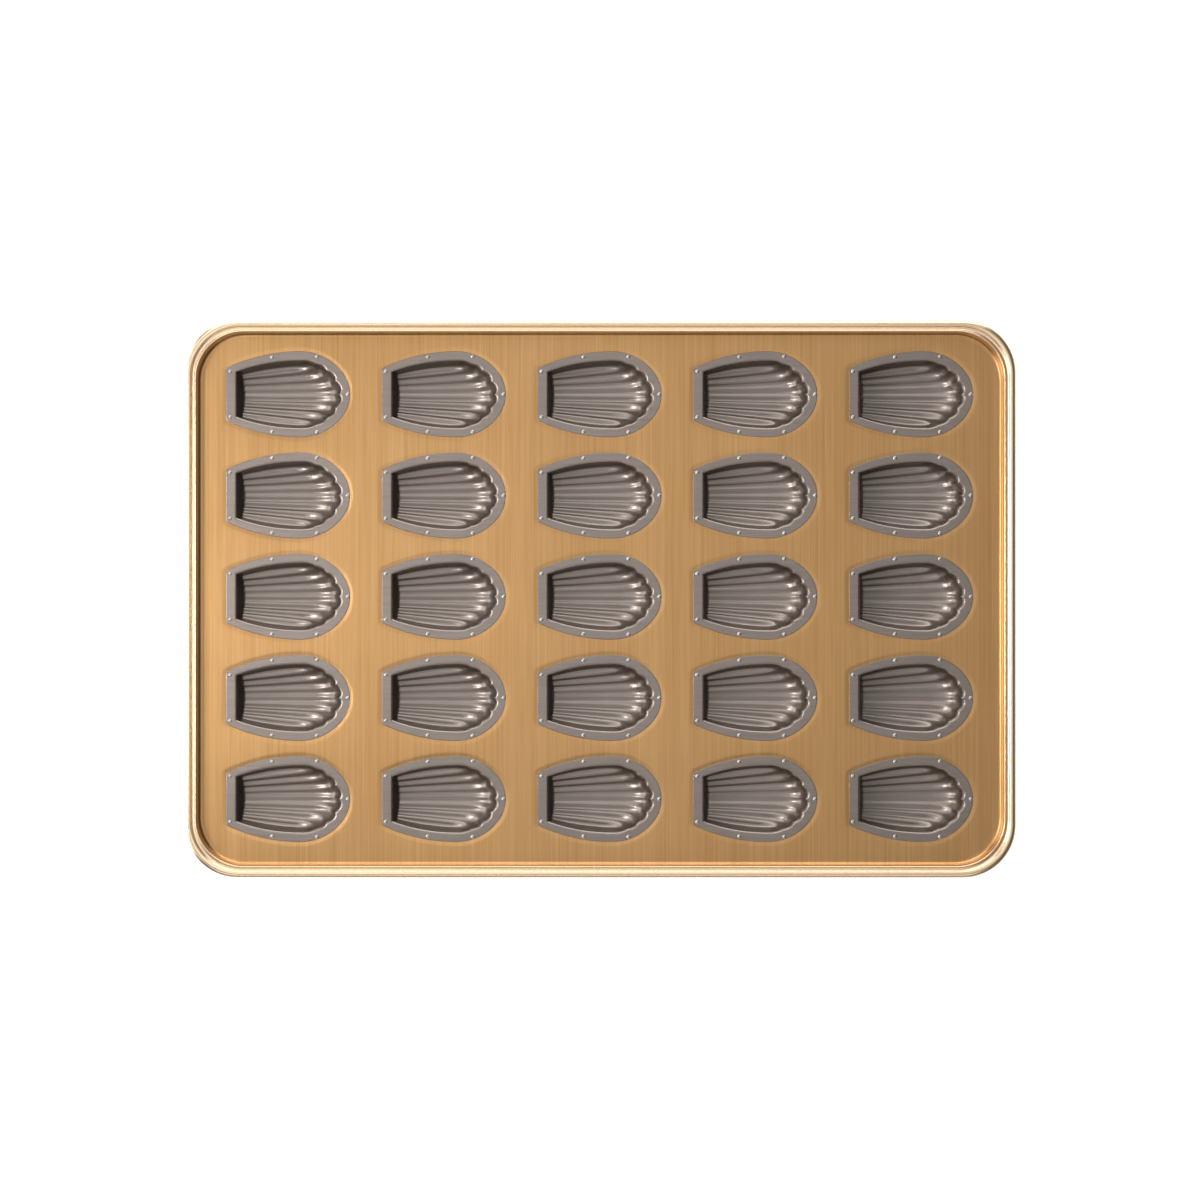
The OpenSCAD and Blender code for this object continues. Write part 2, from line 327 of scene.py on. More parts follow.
@dataclass(frozen=True)
class BrushedGold:
    """Gold-coloured sheet with long brush lines across the tray's width, smoother on the rim and painted
    paler there as painted highlight.

    The colour changes to the rim's painted highlight, and the finish to the rim's smoother one, over
    wall_fade metres from wall_foot, its height over the ground.
    """

    dark: Color = linear(164, 121, 70)
    light: Color = linear(192, 150, 99)
    # Paler gold painted on the rim as painted highlight, standing in for the bright reflections of its bead
    # and wall
    rim_painted_highlight: Color = linear(228, 194, 152)
    roughness: float = 0.33
    rolled_smoothing: float = 0.1
    line_shares: tuple[float, float, float] = (0.45, 0.4, 0.15)
    line_contrast: float = 2.6
    stain_contrast: float = 0.5
    line_dulling: float = 0.16
    stain_dulling: float = 0.08
    line_depth: float = 0.000004
    wall_foot: float = 0.01844
    wall_fade: float = 0.00111
    coat: float = 0.12
    rolled_coat: float = 0.8
    coat_roughness: float = 0.3
    coat_ior: float = 2.2

    def material(self) -> bpy.types.Material:
        """Builds the finish.

        Returns:
            The material.
        """
        g = Graph(bpy.data.materials.new("gold_sheet"))
        fine = g.noise((2600.0, 14.0, 60.0), 2.0)
        middle = g.noise((700.0, 5.0, 30.0), 3.0, 3.1)
        broad = g.noise((60.0, 2.2, 8.0), 2.0, 7.7)
        stain = g.noise((9.0, 7.0, 9.0), 3.0, 1.3)
        fine_share, middle_share, broad_share = self.line_shares
        lines = fine * fine_share + middle * middle_share + broad * broad_share
        tone = (0.5 + (lines - 0.5) * self.line_contrast + (stain - 0.5) * self.stain_contrast).held()
        # Height mask of the rim: it lays the painted highlight colour there and makes the finish smoother and
        # more coated
        rim = ((g.axes()[2] - self.wall_foot) / self.wall_fade).held()
        rough = self.roughness + (middle - 0.5) * self.line_dulling + (stain - 0.5) * self.stain_dulling
        return g.metal(
            {"Coat Roughness": self.coat_roughness, "Coat IOR": self.coat_ior},
            {
                "Base Color": g.mix(rim, g.mix(tone, self.dark, self.light), self.rim_painted_highlight),
                "Roughness": rough - rim * self.rolled_smoothing,
                "Coat Weight": self.coat + rim * self.rolled_coat,
                "Normal": g.bump(lines, self.line_depth),
            },
        )


@dataclass(frozen=True)
class CoatedSteel:
    """Grey release coating on the pressed moulds: satin, with faint drawing lines and clouds."""

    shade: Color = linear(128, 118, 111)
    light: Color = linear(140, 130, 123)
    roughness: float = 0.34
    drawn_contrast: float = 1.6
    cloud_contrast: float = 0.9
    grain_contrast: float = 0.35
    smear_dulling: float = 0.1
    cloud_dulling: float = 0.08
    grain_depth: float = 0.000006

    def material(self) -> bpy.types.Material:
        """Builds the finish.

        Returns:
            The material.
        """
        g = Graph(bpy.data.materials.new("mould_coating"))
        grain = g.noise((1500.0, 1500.0, 1500.0), 2.0)
        smear = g.noise((60.0, 260.0, 120.0), 3.0, 2.0)
        cloud = g.noise((38.0, 38.0, 38.0), 3.0, 5.0)
        drawn = g.noise((22.0, 700.0, 22.0), 2.0, 9.0)
        tone = 0.5 + (drawn - 0.5) * self.drawn_contrast + (cloud - 0.5) * self.cloud_contrast
        tone = (tone + (grain - 0.5) * self.grain_contrast).held()
        rough = self.roughness + (smear - 0.5) * self.smear_dulling + (cloud - 0.5) * self.cloud_dulling
        return g.metal(
            {},
            {
                "Base Color": g.mix(tone, self.shade, self.light),
                "Roughness": rough,
                "Normal": g.bump(grain, self.grain_depth),
            },
        )


@dataclass(frozen=True)
class PlainRivet:
    """Bright aluminium rivet with a tumbled surface."""

    shade: Color = linear(140, 136, 132)
    light: Color = linear(186, 182, 178)
    roughness: float = 0.34
    dulling: float = 0.16
    dent_depth: float = 0.00002

    def material(self) -> bpy.types.Material:
        """Builds the finish.

        Returns:
            The material.
        """
        g = Graph(bpy.data.materials.new("rivet_aluminium"))
        dents = g.noise((1800.0, 1800.0, 1800.0), 2.0)
        return g.metal(
            {},
            {
                "Base Color": g.mix(dents, self.shade, self.light),
                "Roughness": self.roughness + dents * self.dulling,
                "Normal": g.bump(dents, self.dent_depth),
            },
        )


@dataclass(frozen=True)
class DrawnWire:
    """Plain drawn steel wire."""

    shade: Color = linear(120, 118, 115)
    light: Color = linear(176, 174, 170)
    roughness: float = 0.3
    dulling: float = 0.2

    def material(self) -> bpy.types.Material:
        """Builds the finish.

        Returns:
            The material.
        """
        g = Graph(bpy.data.materials.new("drawn_wire"))
        marks = g.noise((900.0, 900.0, 900.0), 3.0)
        color = g.mix(marks, self.shade, self.light)
        return g.metal({}, {"Base Color": color, "Roughness": self.roughness + marks * self.dulling})


# Mesh writing


class MeshWriter:
    """Collects points and faces, and turns them into one smooth mesh object."""

    def __init__(self) -> None:
        """Starts with nothing."""
        self.points: list[Points] = []
        self.faces: list[tuple[int, ...]] = []
        self.count = 0

    def add(self, points: Points) -> np.ndarray:
        """Adds points.

        Args:
            points: Array of N points, in millimetres.

        Returns:
            Their N numbers.
        """
        first = self.count
        self.points.append(np.asarray(points, float).reshape(-1, 3))
        self.count += len(self.points[-1])
        return np.arange(first, self.count)

    def quads(self, low: np.ndarray, high: np.ndarray, closed: bool, flip: bool) -> None:
        """Joins two rows of the same length.

        Args:
            low: Point numbers of the first row.
            high: Point numbers of the second row.
            closed: Whether the rows are loops.
            flip: Turns the faces over.
        """
        steps = len(low) if closed else len(low) - 1
        for i in range(steps):
            j = (i + 1) % len(low)
            quad = (low[i], low[j], high[j], high[i])
            corners = tuple(dict.fromkeys(int(k) for k in (quad[::-1] if flip else quad)))
            if len(corners) > 2:
                self.faces.append(corners)

    def strip(self, rows: Sequence[np.ndarray], closed: bool, flip: bool) -> None:
        """Joins a sequence of rows.

        Args:
            rows: Point numbers, row by row.
            closed: Whether each row is a loop.
            flip: Turns the faces over.
        """
        for low, high in zip(rows, rows[1:]):
            self.quads(low, high, closed, flip)

    def flat(self, outer: np.ndarray, holes: Sequence[np.ndarray], side: Side) -> None:
        """Fills a level area between loops that are already added.

        Args:
            outer: Point numbers of the outer loop.
            holes: Point numbers of each hole's loop.
            side: Whether the area faces up or down.
        """
        everything = np.vstack(self.points)
        loops = [outer, *holes]
        numbers = np.concatenate(loops)
        plan = everything[numbers][:, :2]
        edges, first = [], 0
        for loop in loops:
            size = len(loop)
            edges += [(first + i, first + (i + 1) % size) for i in range(size)]
            first += size
        found, _, triangles, back, _, _ = delaunay_2d_cdt([Vector(p) for p in plan], edges, [], 0, CLOSEST)
        new = sum(len(b) != 1 for b in back)
        if new:
            LOG.warning("a level area has loops that cross: %d new points", new)
        triangles = np.array(triangles, int)
        spots = np.array([tuple(p) for p in found])
        middles = spots[triangles].mean(axis=1)
        keep = within(middles, plan[: len(outer)])
        first = len(outer)
        for hole in holes:
            keep &= ~within(middles, plan[first : first + len(hole)])
            first += len(hole)
        for triangle in triangles[keep]:
            corners = [int(numbers[back[k][0]]) for k in triangle if len(back[k])]
            if len(set(corners)) == 3:
                a, b, c = (everything[k][:2] for k in corners)
                turn = (b[0] - a[0]) * (c[1] - a[1]) - (b[1] - a[1]) * (c[0] - a[0])
                if (turn > 0) != (side is Side.TOP):
                    corners.reverse()
                self.faces.append(tuple(corners))

    def build(self, name: str, shift: Sequence[float]) -> bpy.types.Object:
        """Makes the object.

        Args:
            name: The object's name.
            shift: Millimetres added to every point.

        Returns:
            The object, linked to the scene.
        """
        mesh = bpy.data.meshes.new(name)
        everything = (np.vstack(self.points) + np.asarray(shift, float)) * MM
        mesh.from_pydata(everything.tolist(), [], self.faces)
        mesh.validate(clean_customdata=False)
        mesh.polygons.foreach_set("use_smooth", [True] * len(mesh.polygons))
        mesh.update()
        thing = bpy.data.objects.new(name, mesh)
        bpy.context.scene.collection.objects.link(thing)
        return thing


def within(spots: Points, loop: Loop) -> np.ndarray:
    """Tests which spots lie inside a loop.

    Args:
        spots: N plan points.
        loop: The loop's plan points.

    Returns:
        N truth values.
    """
    inside = np.zeros(len(spots), bool)
    low, high = loop.min(axis=0), loop.max(axis=0)
    near = np.all((spots >= low) & (spots <= high), axis=1)
    x, y = spots[near, 0][:, None], spots[near, 1][:, None]
    x1, y1 = loop[:, 0][None], loop[:, 1][None]
    x2, y2 = np.roll(loop, -1, axis=0).T
    spans = (y1 > y) != (y2[None] > y)
    with np.errstate(divide="ignore", invalid="ignore"):
        cross = x < (x2[None] - x1) * (y - y1) / (y2[None] - y1) + x1
    inside[near] = (np.count_nonzero(spans & cross, axis=1) % 2).astype(bool)
    return inside


def level(loop: Loop, height: float) -> Points:
    """Lifts a plan loop to one height.

    Args:
        loop: Plan points.
        height: Height in millimetres.

    Returns:
        Points in space.
    """
    return np.column_stack([loop, np.full(len(loop), height)])


def arc(centre: Sequence[float], radius: float, start: float, end: float, steps: int) -> Loop:
    """Points along a circular arc.

    Args:
        centre: The circle's centre.
        radius: Its radius.
        start: First angle in degrees.
        end: Last angle in degrees.
        steps: Number of steps; both ends are included.

    Returns:
        steps + 1 plan points.
    """
    turn = np.radians(np.linspace(start, end, steps + 1))
    return np.column_stack([centre[0] + radius * np.cos(turn), centre[1] + radius * np.sin(turn)])


@dataclass
class Dressed:
    """What every sub-assembly has: a finish and the record's slot for it."""

    finish: bpy.types.Material
    slot: Slot

    def dress(self, thing: bpy.types.Object, node: str) -> None:
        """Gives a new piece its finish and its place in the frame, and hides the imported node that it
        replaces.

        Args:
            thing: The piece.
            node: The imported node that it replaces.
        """
        thing.data.materials.append(self.finish)
        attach(thing, "root")
        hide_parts(node)
        LOG.info("%s: %d faces in place of %s", thing.name, len(thing.data.polygons), node)


# The moulds


@dataclass(frozen=True)
class CavityForm:
    """The fluted cavity's form, in millimetres from the middle of its straight end, its rim at height 0."""

    depth: float = 17.0
    foot_share: float = 0.8
    rim_start_x: float = 1.0
    straight_half_width: float = 15.5
    half_width: float = 24.0
    arch_widening: float = 0.16
    ridge_height: float = 1.15
    middle_ridge: float = 0.5
    ridge_at_foot: float = 0.8
    scallops: tuple[float, ...] = (2.1, 1.85, 1.15, 0.35)
    flutes: int = 4
    rim_centre_x: float = 49.6
    nose_centre_x: float = 47.0
    nose_length: float = 27.85
    nose_power: float = 1.85
    lean_at_middle: float = -20.0
    lean_per_flute: float = 16.0
    rim_power: float = 2.2
    ridge_pitch: float = 4.45
    ridge_pitch_loss: float = 0.08
    fan_width: float = 7.6
    fan_power: float = 1.3
    fan_length: float = 64.0
    cusp_angle: float = 21.0
    toe_gap: float = 5.5
    toe_gap_loss: float = 0.9
    toe_run: float = 18.0
    toe_run_loss: float = 1.5
    foot_draft: float = 0.23
    land_start: float = 0.85
    side_fall: float = 0.06
    side_power: float = 1.5
    flat_half_width: float = 0.7
    side_wall_start: float = 3.55
    wall_power: float = 2.2
    turn_power: float = 3.0

    def rim_side(self, x: np.ndarray) -> np.ndarray:
        """Half width of the rim at x."""
        share = np.abs(self.rim_centre_x - x) / self.rim_centre_x
        return self.half_width - (self.half_width - self.straight_half_width) * share**self.rim_power

    def line(self, flute: np.ndarray, x: np.ndarray, grow: float) -> np.ndarray:
        """Distance of a flute line from the centre line.

        Args:
            flute: Flute positions from 0 to the number of flutes.
            x: Distances from the straight end.
            grow: Millimetres that the surface is moved out by.

        Returns:
            The distances.
        """
        inner = np.minimum(flute, self.flutes - 1)
        fan = self.fan_width * (inner / (self.flutes - 1)) ** self.fan_power * x / self.fan_length
        y = (self.ridge_pitch - self.ridge_pitch_loss * inner) * inner + fan
        return y + (self.rim_side(x) + grow - y) * np.clip(flute - self.flutes + 1, 0, 1)

    def arch(self, flute: np.ndarray, grow: float) -> tuple[np.ndarray, np.ndarray]:
        """Points of the smooth arch that the scallops stand on.

        Args:
            flute: Flute positions.
            grow: Millimetres that the surface is moved out by.

        Returns:
            Their two coordinates.
        """
        angle = np.radians(self.cusp_angle * flute)
        along = (np.cos(angle) / (self.nose_length + grow)) ** self.nose_power
        across = (np.sin(angle) / (self.half_width + self.arch_widening + grow)) ** self.nose_power
        reach = (along + across) ** (-1 / self.nose_power)
        return self.nose_centre_x + reach * np.cos(angle), reach * np.sin(angle)

    def nose(self, flute: np.ndarray, grow: float) -> tuple[np.ndarray, np.ndarray]:
        """Points of the scalloped rim.

        Args:
            flute: Flute positions.
            grow: Millimetres that the surface is moved out by.

        Returns:
            Their two coordinates.
        """
        x, y = self.arch(flute, grow)
        size = np.take(self.scallops, np.minimum(flute, self.flutes - 1).astype(int))
        bulge = size * np.abs(np.sin(np.pi * flute))
        lean = np.radians(self.lean_at_middle + self.lean_per_flute * flute)
        return x + bulge * np.cos(lean), y + bulge * np.sin(lean)

    def rounded(self, share: np.ndarray) -> np.ndarray:
        """Share of the depth left on the way up a wall."""
        return np.clip(1 - np.clip(share, 0, 1) ** self.wall_power, 0, 1) ** (1 / self.wall_power)

    def depths(self, flute: np.ndarray, floor: np.ndarray, wall: np.ndarray) -> np.ndarray:
        """Depth of the surface.

        Args:
            flute: Flute positions.
            floor: Shares of the floor's run.
            wall: Shares of the end wall.

        Returns:
            The depths.
        """
        side = 1 - self.side_fall * np.maximum(0, flute - self.flat_half_width) ** self.side_power
        side = side * self.rounded((flute - self.side_wall_start) / (self.flutes - self.side_wall_start))
        along = 1 - (1 - self.foot_share) * (1 - np.minimum(1, floor / self.land_start)) ** 2
        crest = np.where(flute > self.flutes - 0.5, 0, (1 + np.cos(2 * np.pi * flute)) / 2)
        crest = np.where(flute < 0.5, self.middle_ridge, 1.0) * crest
        crest = crest * (self.ridge_at_foot + (1 - self.ridge_at_foot) * floor)
        return self.rounded(wall) * np.maximum(self.depth * along * side - self.ridge_height * crest, 0)

    def surface(self, across: np.ndarray, floor: np.ndarray, wall: np.ndarray, grow: float) -> Points:
        """Points of the surface.

        Args:
            across: Flute positions with their side's sign.
            floor: Shares of the floor's run.
            wall: Shares of the end wall.
            grow: Millimetres that the surface is moved out and down by.

        Returns:
            The points; their heights are below 0.
        """
        flute, side = np.abs(across), np.sign(across)
        zero = np.zeros_like(flute)
        foot = self.rim_start_x + self.foot_draft * self.depths(flute, zero, zero) - grow
        toe = self.arch(flute, grow / 2)[0] - self.toe_gap + self.toe_gap_loss * flute
        start = toe - self.toe_run + self.toe_run_loss * flute
        on_floor = foot + (start - foot) * floor
        nose_x, nose_y = self.nose(flute, grow)
        on_wall = (1 - wall) ** 2 * start + 2 * wall * (1 - wall) * toe + wall**2 * nose_x
        x = np.where(wall > 0, on_wall, on_floor)
        y = self.line(flute, x, grow)
        y = y + (nose_y - y) * wall**self.turn_power
        return np.stack([x, side * y, -self.depths(flute, floor, wall) - grow], axis=-1)


@dataclass(frozen=True)
class ShellOutline:
    """An outline with a straight left edge, two long side arcs, two small corners and a round end.

    The round end is two shoulder arcs and the tip's arc. They meet where the radius has the slope of a
    3-4-5 triangle.
    """

    left: float
    nose_x: float
    half_width: float
    shoulder: float
    side_radius: float
    corner_radius: float

    def grown(self, by: float) -> "ShellOutline":
        """The outline moved outwards.

        Args:
            by: Millimetres to move it by.

        Returns:
            The new outline.
        """
        return replace(
            self,
            left=self.left - by,
            half_width=self.half_width + by,
            side_radius=self.side_radius + by,
            corner_radius=self.corner_radius + by,
        )

    def loop(self, finer: int = 1) -> Loop:
        """The outline's plan points, counter-clockwise from the tip.

        Args:
            finer: Multiplies the number of points on the curves.

        Returns:
            The points.
        """
        centre_x = self.left + self.corner_radius
        reach = self.side_radius - self.corner_radius
        centre_y = math.sqrt(reach**2 - (self.nose_x - centre_x) ** 2) - self.side_radius + self.half_width
        side_centre = (self.nose_x, self.half_width - self.side_radius)
        turn = math.degrees(math.atan2(centre_y - side_centre[1], centre_x - side_centre[0]))
        tip_end = math.degrees(math.asin(3 / 5))
        tip_centre = (self.nose_x + self.shoulder * 4 / 3, 0.0)
        tip_radius = self.half_width - self.shoulder * 2 / 3
        shoulder_centre = (self.nose_x, -self.shoulder)
        shoulder_radius = self.half_width + self.shoulder
        half = np.vstack(
            [
                arc(tip_centre, tip_radius, 0, tip_end, 8 * finer),
                arc(shoulder_centre, shoulder_radius, tip_end, 90, 10 * finer)[1:],
                arc(side_centre, self.side_radius, 90, turn, 9 * finer)[1:],
                arc((centre_x, centre_y), self.corner_radius, turn, 180, 4 * finer)[1:],
            ]
        )
        edge = np.column_stack([np.full(3, self.left), np.linspace(centre_y, -centre_y, 5)[1:-1]])
        other = half[::-1] * (1, -1)
        return np.vstack([half, edge, other[:-1]])


FLANGE = ShellOutline(-6.7, 47.2, 31.1, 7.2, 125.0, 3.5)
CUT_OUT = ShellOutline(-1.5, 50.1, 26.3, 3.6, 140.0, 1.0)
RIVET_PAIRS = ((-3.9, 16.6), (26.6, 27.1), (59.2, 27.4))
RIVET_PLACES = (*((x, side * y) for x, y in RIVET_PAIRS for side in (1, -1)), (81.6, 0.0))


@dataclass
class Mould(Dressed):
    """One pressed mould: a fluted cup with a flat flange. Its flange's top is at height 0.

    A narrow level hem joins the cup's rounded lip to the flange's level area.
    """

    form: CavityForm = CavityForm()
    thickness: float = 0.8
    lip: float = 1.8
    bend: float = 1.0
    hem: float = 0.35
    per_flute: int = 12
    straight_steps: int = 6
    floor_steps: int = 20
    floor_crowding: float = 1.15
    wall_steps: int = 22
    bend_steps: int = 5
    smoothing_passes: int = 3

    def _stations(self, coarser: int) -> tuple[np.ndarray, np.ndarray, np.ndarray, np.ndarray]:
        """The cup's mesh stations.

        Args:
            coarser: Divides the number of stations.

        Returns:
            Positions across, and the straight wall's, floor's and end wall's shares along.
        """
        count = 2 * self.form.flutes * self.per_flute // coarser
        across = np.linspace(-self.form.flutes, self.form.flutes, count + 1)
        straight = np.linspace(0, 1, self.straight_steps // coarser + 1)[:-1]
        floor = np.linspace(0, 1, self.floor_steps // coarser + 1) ** self.floor_crowding
        share = np.linspace(0, 1, self.wall_steps // coarser + 1)[1:]
        return across, straight, floor, np.sin(share * math.pi / 2)

    def _grid(self, grow: float, least: float, coarser: int) -> Points:
        """The cup's surface from the straight end's rim to the scalloped rim.

        Args:
            grow: Millimetres that the surface is moved out and down by.
            least: Least depth, where the rounded lip takes over.
            coarser: Divides the number of stations.

        Returns:
            Rows of points.
        """
        across, straight, floor, wall = self._stations(coarser)
        zero, one = np.zeros_like(across), np.ones_like(across)
        foot = self.form.surface(across, zero, zero, grow)
        foot[:, 2] = np.minimum(foot[:, 2], -least)
        top = foot.copy()
        top[:, 0] = self.form.rim_start_x - grow + self.form.foot_draft * (least - grow)
        top[:, 2] = -least
        rows = [top + (foot - top) * share for share in straight]
        rows += [self.form.surface(across, one * share, zero, grow) for share in floor]
        rows += [self.form.surface(across, one, one * share, grow) for share in wall]
        grid = np.stack(rows)
        grid[..., 2] = np.minimum(grid[..., 2], -least)
        corner_rows = len(straight) + 1
        for edge in (0, -1):
            grid[:corner_rows, edge] = grid[0, edge]
        return grid

    @staticmethod
    def _rim(numbers: np.ndarray, corner_rows: int) -> np.ndarray:
        """Numbers of a grid's edge, counter-clockwise from above.

        Args:
            numbers: The grid's point numbers.
            corner_rows: Rows that share one point at each side.

        Returns:
            The loop.
        """
        return np.concatenate(
            [
                [numbers[0, 0]],
                numbers[corner_rows:, 0],
                numbers[-1, 1:],
                numbers[corner_rows:-1, -1][::-1],
                [numbers[0, -1]],
                numbers[0, 1:-1][::-1],
            ]
        )

    def _outward(self, loop: Loop) -> Loop:
        """Outward directions of a counter-clockwise loop, evened out at its cusps.

        Args:
            loop: Plan points.

        Returns:
            Unit directions.
        """
        edge = np.roll(loop, -1, axis=0) - loop
        edge /= np.maximum(np.linalg.norm(edge, axis=1, keepdims=True), 1e-9)
        normal = np.column_stack([edge[:, 1], -edge[:, 0]])
        normal = normal + np.roll(normal, 1, axis=0)
        for _ in range(self.smoothing_passes):
            normal = normal + 0.5 * (np.roll(normal, 1, axis=0) + np.roll(normal, -1, axis=0))
            normal /= np.linalg.norm(normal, axis=1, keepdims=True)
        return normal

    def _cup(self, writer: MeshWriter, side: Side) -> np.ndarray:
        """Adds one face of the cup and the rounded bend up to the flange.

        Args:
            writer: Where the mesh goes.
            side: The inside face or the underside.

        Returns:
            Numbers of the loop where the flange's level area starts.
        """
        inside = side is Side.TOP
        coarser = 1 if inside else 2
        grow = 0.0 if inside else self.thickness
        radius = self.lip if inside else self.bend
        grid = self._grid(grow, grow + radius, coarser)
        numbers = writer.add(grid).reshape(grid.shape[:2])
        corner_rows = len(self._stations(coarser)[1]) + 1
        for edge in (0, -1):
            numbers[:corner_rows, edge] = numbers[0, edge]
        for low, high in zip(numbers, numbers[1:]):
            writer.quads(low, high, closed=False, flip=inside)
        rim = self._rim(numbers, corner_rows)
        everything = np.vstack(writer.points)[rim]
        outward = self._outward(everything[:, :2])
        loops = [rim]
        for turn in np.radians(np.linspace(0, 90, self.bend_steps + 1))[1:]:
            out = radius * (1 - math.cos(turn))
            height = -grow - radius * (1 - math.sin(turn))
            loops.append(writer.add(level(everything[:, :2] + outward * out, height)))
        loops.append(writer.add(level(everything[:, :2] + outward * (radius + self.hem), -grow)))
        writer.strip(loops, closed=True, flip=inside)
        return loops[-1]

    def build(self, name: str, shift: Sequence[float]) -> bpy.types.Object:
        """Makes the mould.

        Args:
            name: The object's name.
            shift: Place of the straight end's middle, at the flange's top.

        Returns:
            The object.
        """
        writer = MeshWriter()
        inner = self._cup(writer, Side.TOP)
        lower = self._cup(writer, Side.UNDER)
        rounding = ((0.5, 0.0), (0.2, 0.0), (0.06, 0.06), (0.0, 0.2))
        section = [(inset, -drop) for inset, drop in rounding]
        section += [(inset, drop - self.thickness) for inset, drop in reversed(rounding)]
        edges = [writer.add(level(FLANGE.grown(-inset).loop(2), height)) for inset, height in section]
        writer.strip(edges, closed=True, flip=True)
        writer.flat(edges[0], [inner], Side.TOP)
        writer.flat(edges[-1], [lower], Side.UNDER)
        return writer.build(name, shift)


@dataclass
class Rivets(Dressed):
    """The rivets of one mould: domed heads on the flange, shanks, and flat tails under the sheet."""

    shank: float = 0.95
    head: float = 1.45
    head_height: float = 0.5
    crown_share: float = 0.94
    grip: float = 1.8
    tail: float = 1.3
    tail_height: float = 0.5
    around: int = 28

    def _profile(self) -> Loop:
        """Half section from the head's crown to the tail's middle.

        Returns:
            Radii and heights.
        """
        dome = (self.head**2 + self.head_height**2) / (2 * self.head_height)
        reach = self.crown_share * math.degrees(math.asin(self.head / dome))
        under = -self.grip
        end = under - self.tail_height
        return np.vstack(
            [
                arc((0.0, self.head_height - dome), dome, 90, 90 - reach, 7)[1:],
                [[self.head, 0.03], [self.head - 0.04, -0.01], [self.shank, -0.01]],
                [[self.shank, under + 0.01], [self.tail - 0.04, under + 0.01], [self.tail, under - 0.05]],
                [[self.tail, end + 0.16], [self.tail - 0.07, end + 0.06]],
                [[self.tail - 0.22, end], [0.4, end]],
            ]
        )

    def build(self, name: str, shift: Sequence[float]) -> bpy.types.Object:
        """Makes the rivets.

        Args:
            name: The object's name.
            shift: Place of the mould that they hold.

        Returns:
            The object.
        """
        writer = MeshWriter()
        profile = self._profile()
        turn = np.linspace(0, 2 * math.pi, self.around, endpoint=False)
        ring = np.column_stack([np.cos(turn), np.sin(turn)])
        for place in RIVET_PLACES:
            loops = [writer.add(level(ring * radius + place, height)) for radius, height in profile]
            writer.strip(loops, closed=True, flip=True)
            crown = writer.add([[*place, self.head_height]])[0]
            tail = writer.add([[*place, -self.grip - self.tail_height]])[0]
            for i in range(self.around):
                j = (i + 1) % self.around
                writer.faces.append((int(loops[0][i]), int(loops[0][j]), int(crown)))
                writer.faces.append((int(loops[-1][j]), int(loops[-1][i]), int(tail)))
        return writer.build(name, shift)


# The tray


